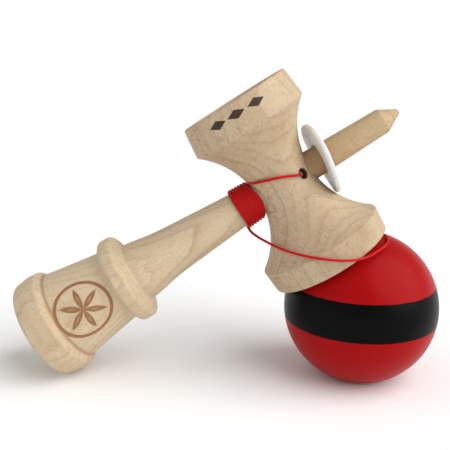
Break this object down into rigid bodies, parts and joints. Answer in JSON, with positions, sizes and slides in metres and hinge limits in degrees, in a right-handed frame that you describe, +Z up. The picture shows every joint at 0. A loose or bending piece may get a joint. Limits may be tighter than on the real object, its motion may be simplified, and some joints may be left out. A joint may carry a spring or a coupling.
{
  "type": "kendama",
  "caption": "Wooden cup-and-ball skill toy: a turned handle with spike and cross-piece, leaning on a lacquered ball joined by a string.",
  "frame": {"origin": "on the ground, under the middle of the whole object's box as it rests on its ball and base cup", "axes": "+Z up; the handle's axis lies in the XZ plane and rises towards +X at 32.66 degrees; the cross-piece's big cup faces +X and down, and its small cup leans back towards +Y by 4.2 degrees; the string's loop is on the -Y side"},
  "size_m": [0.1656, 0.06, 0.119],
  "materials": {
    "handle_wood": "satin",
    "cup_wood": "satin",
    "ball_lacquer": "satin lacquer over wood",
    "white_plastic": "satin",
    "bead_wood": "plain",
    "string": "braided"
  },
  "bodies": {
    "ball": {"tama": "ball_lacquer"},
    "swivel": {"bead": "bead_wood", "bead_knot": "string", "string_core": "string"},
    "handle": {"ken": "handle_wood", "sarado": "cup_wood", "ken_knot": "string", "string_root": "string", "string_lead": "string", "string_wrap": "string", "string_tail": "string"},
    "disc": {"spike_disc": "white_plastic"}
  },
  "joints": [
    {"name": "string_swivel", "type": "hinge", "parent": "ball", "child": "swivel", "pos_m": [0.0528, 0, 0.0279], "axis": [0, 0, 1], "continuous": true},
    {"name": "cup_lift", "type": "slide", "parent": "swivel", "child": "handle", "axis": [-0.5382, 0.0732, 0.8396], "range_m": [0, 0.015]},
    {"name": "disc_slide", "type": "slide", "parent": "handle", "child": "disc", "axis": [0.8419, 0, 0.5397], "range_m": [0, 0.026]}
  ]
}
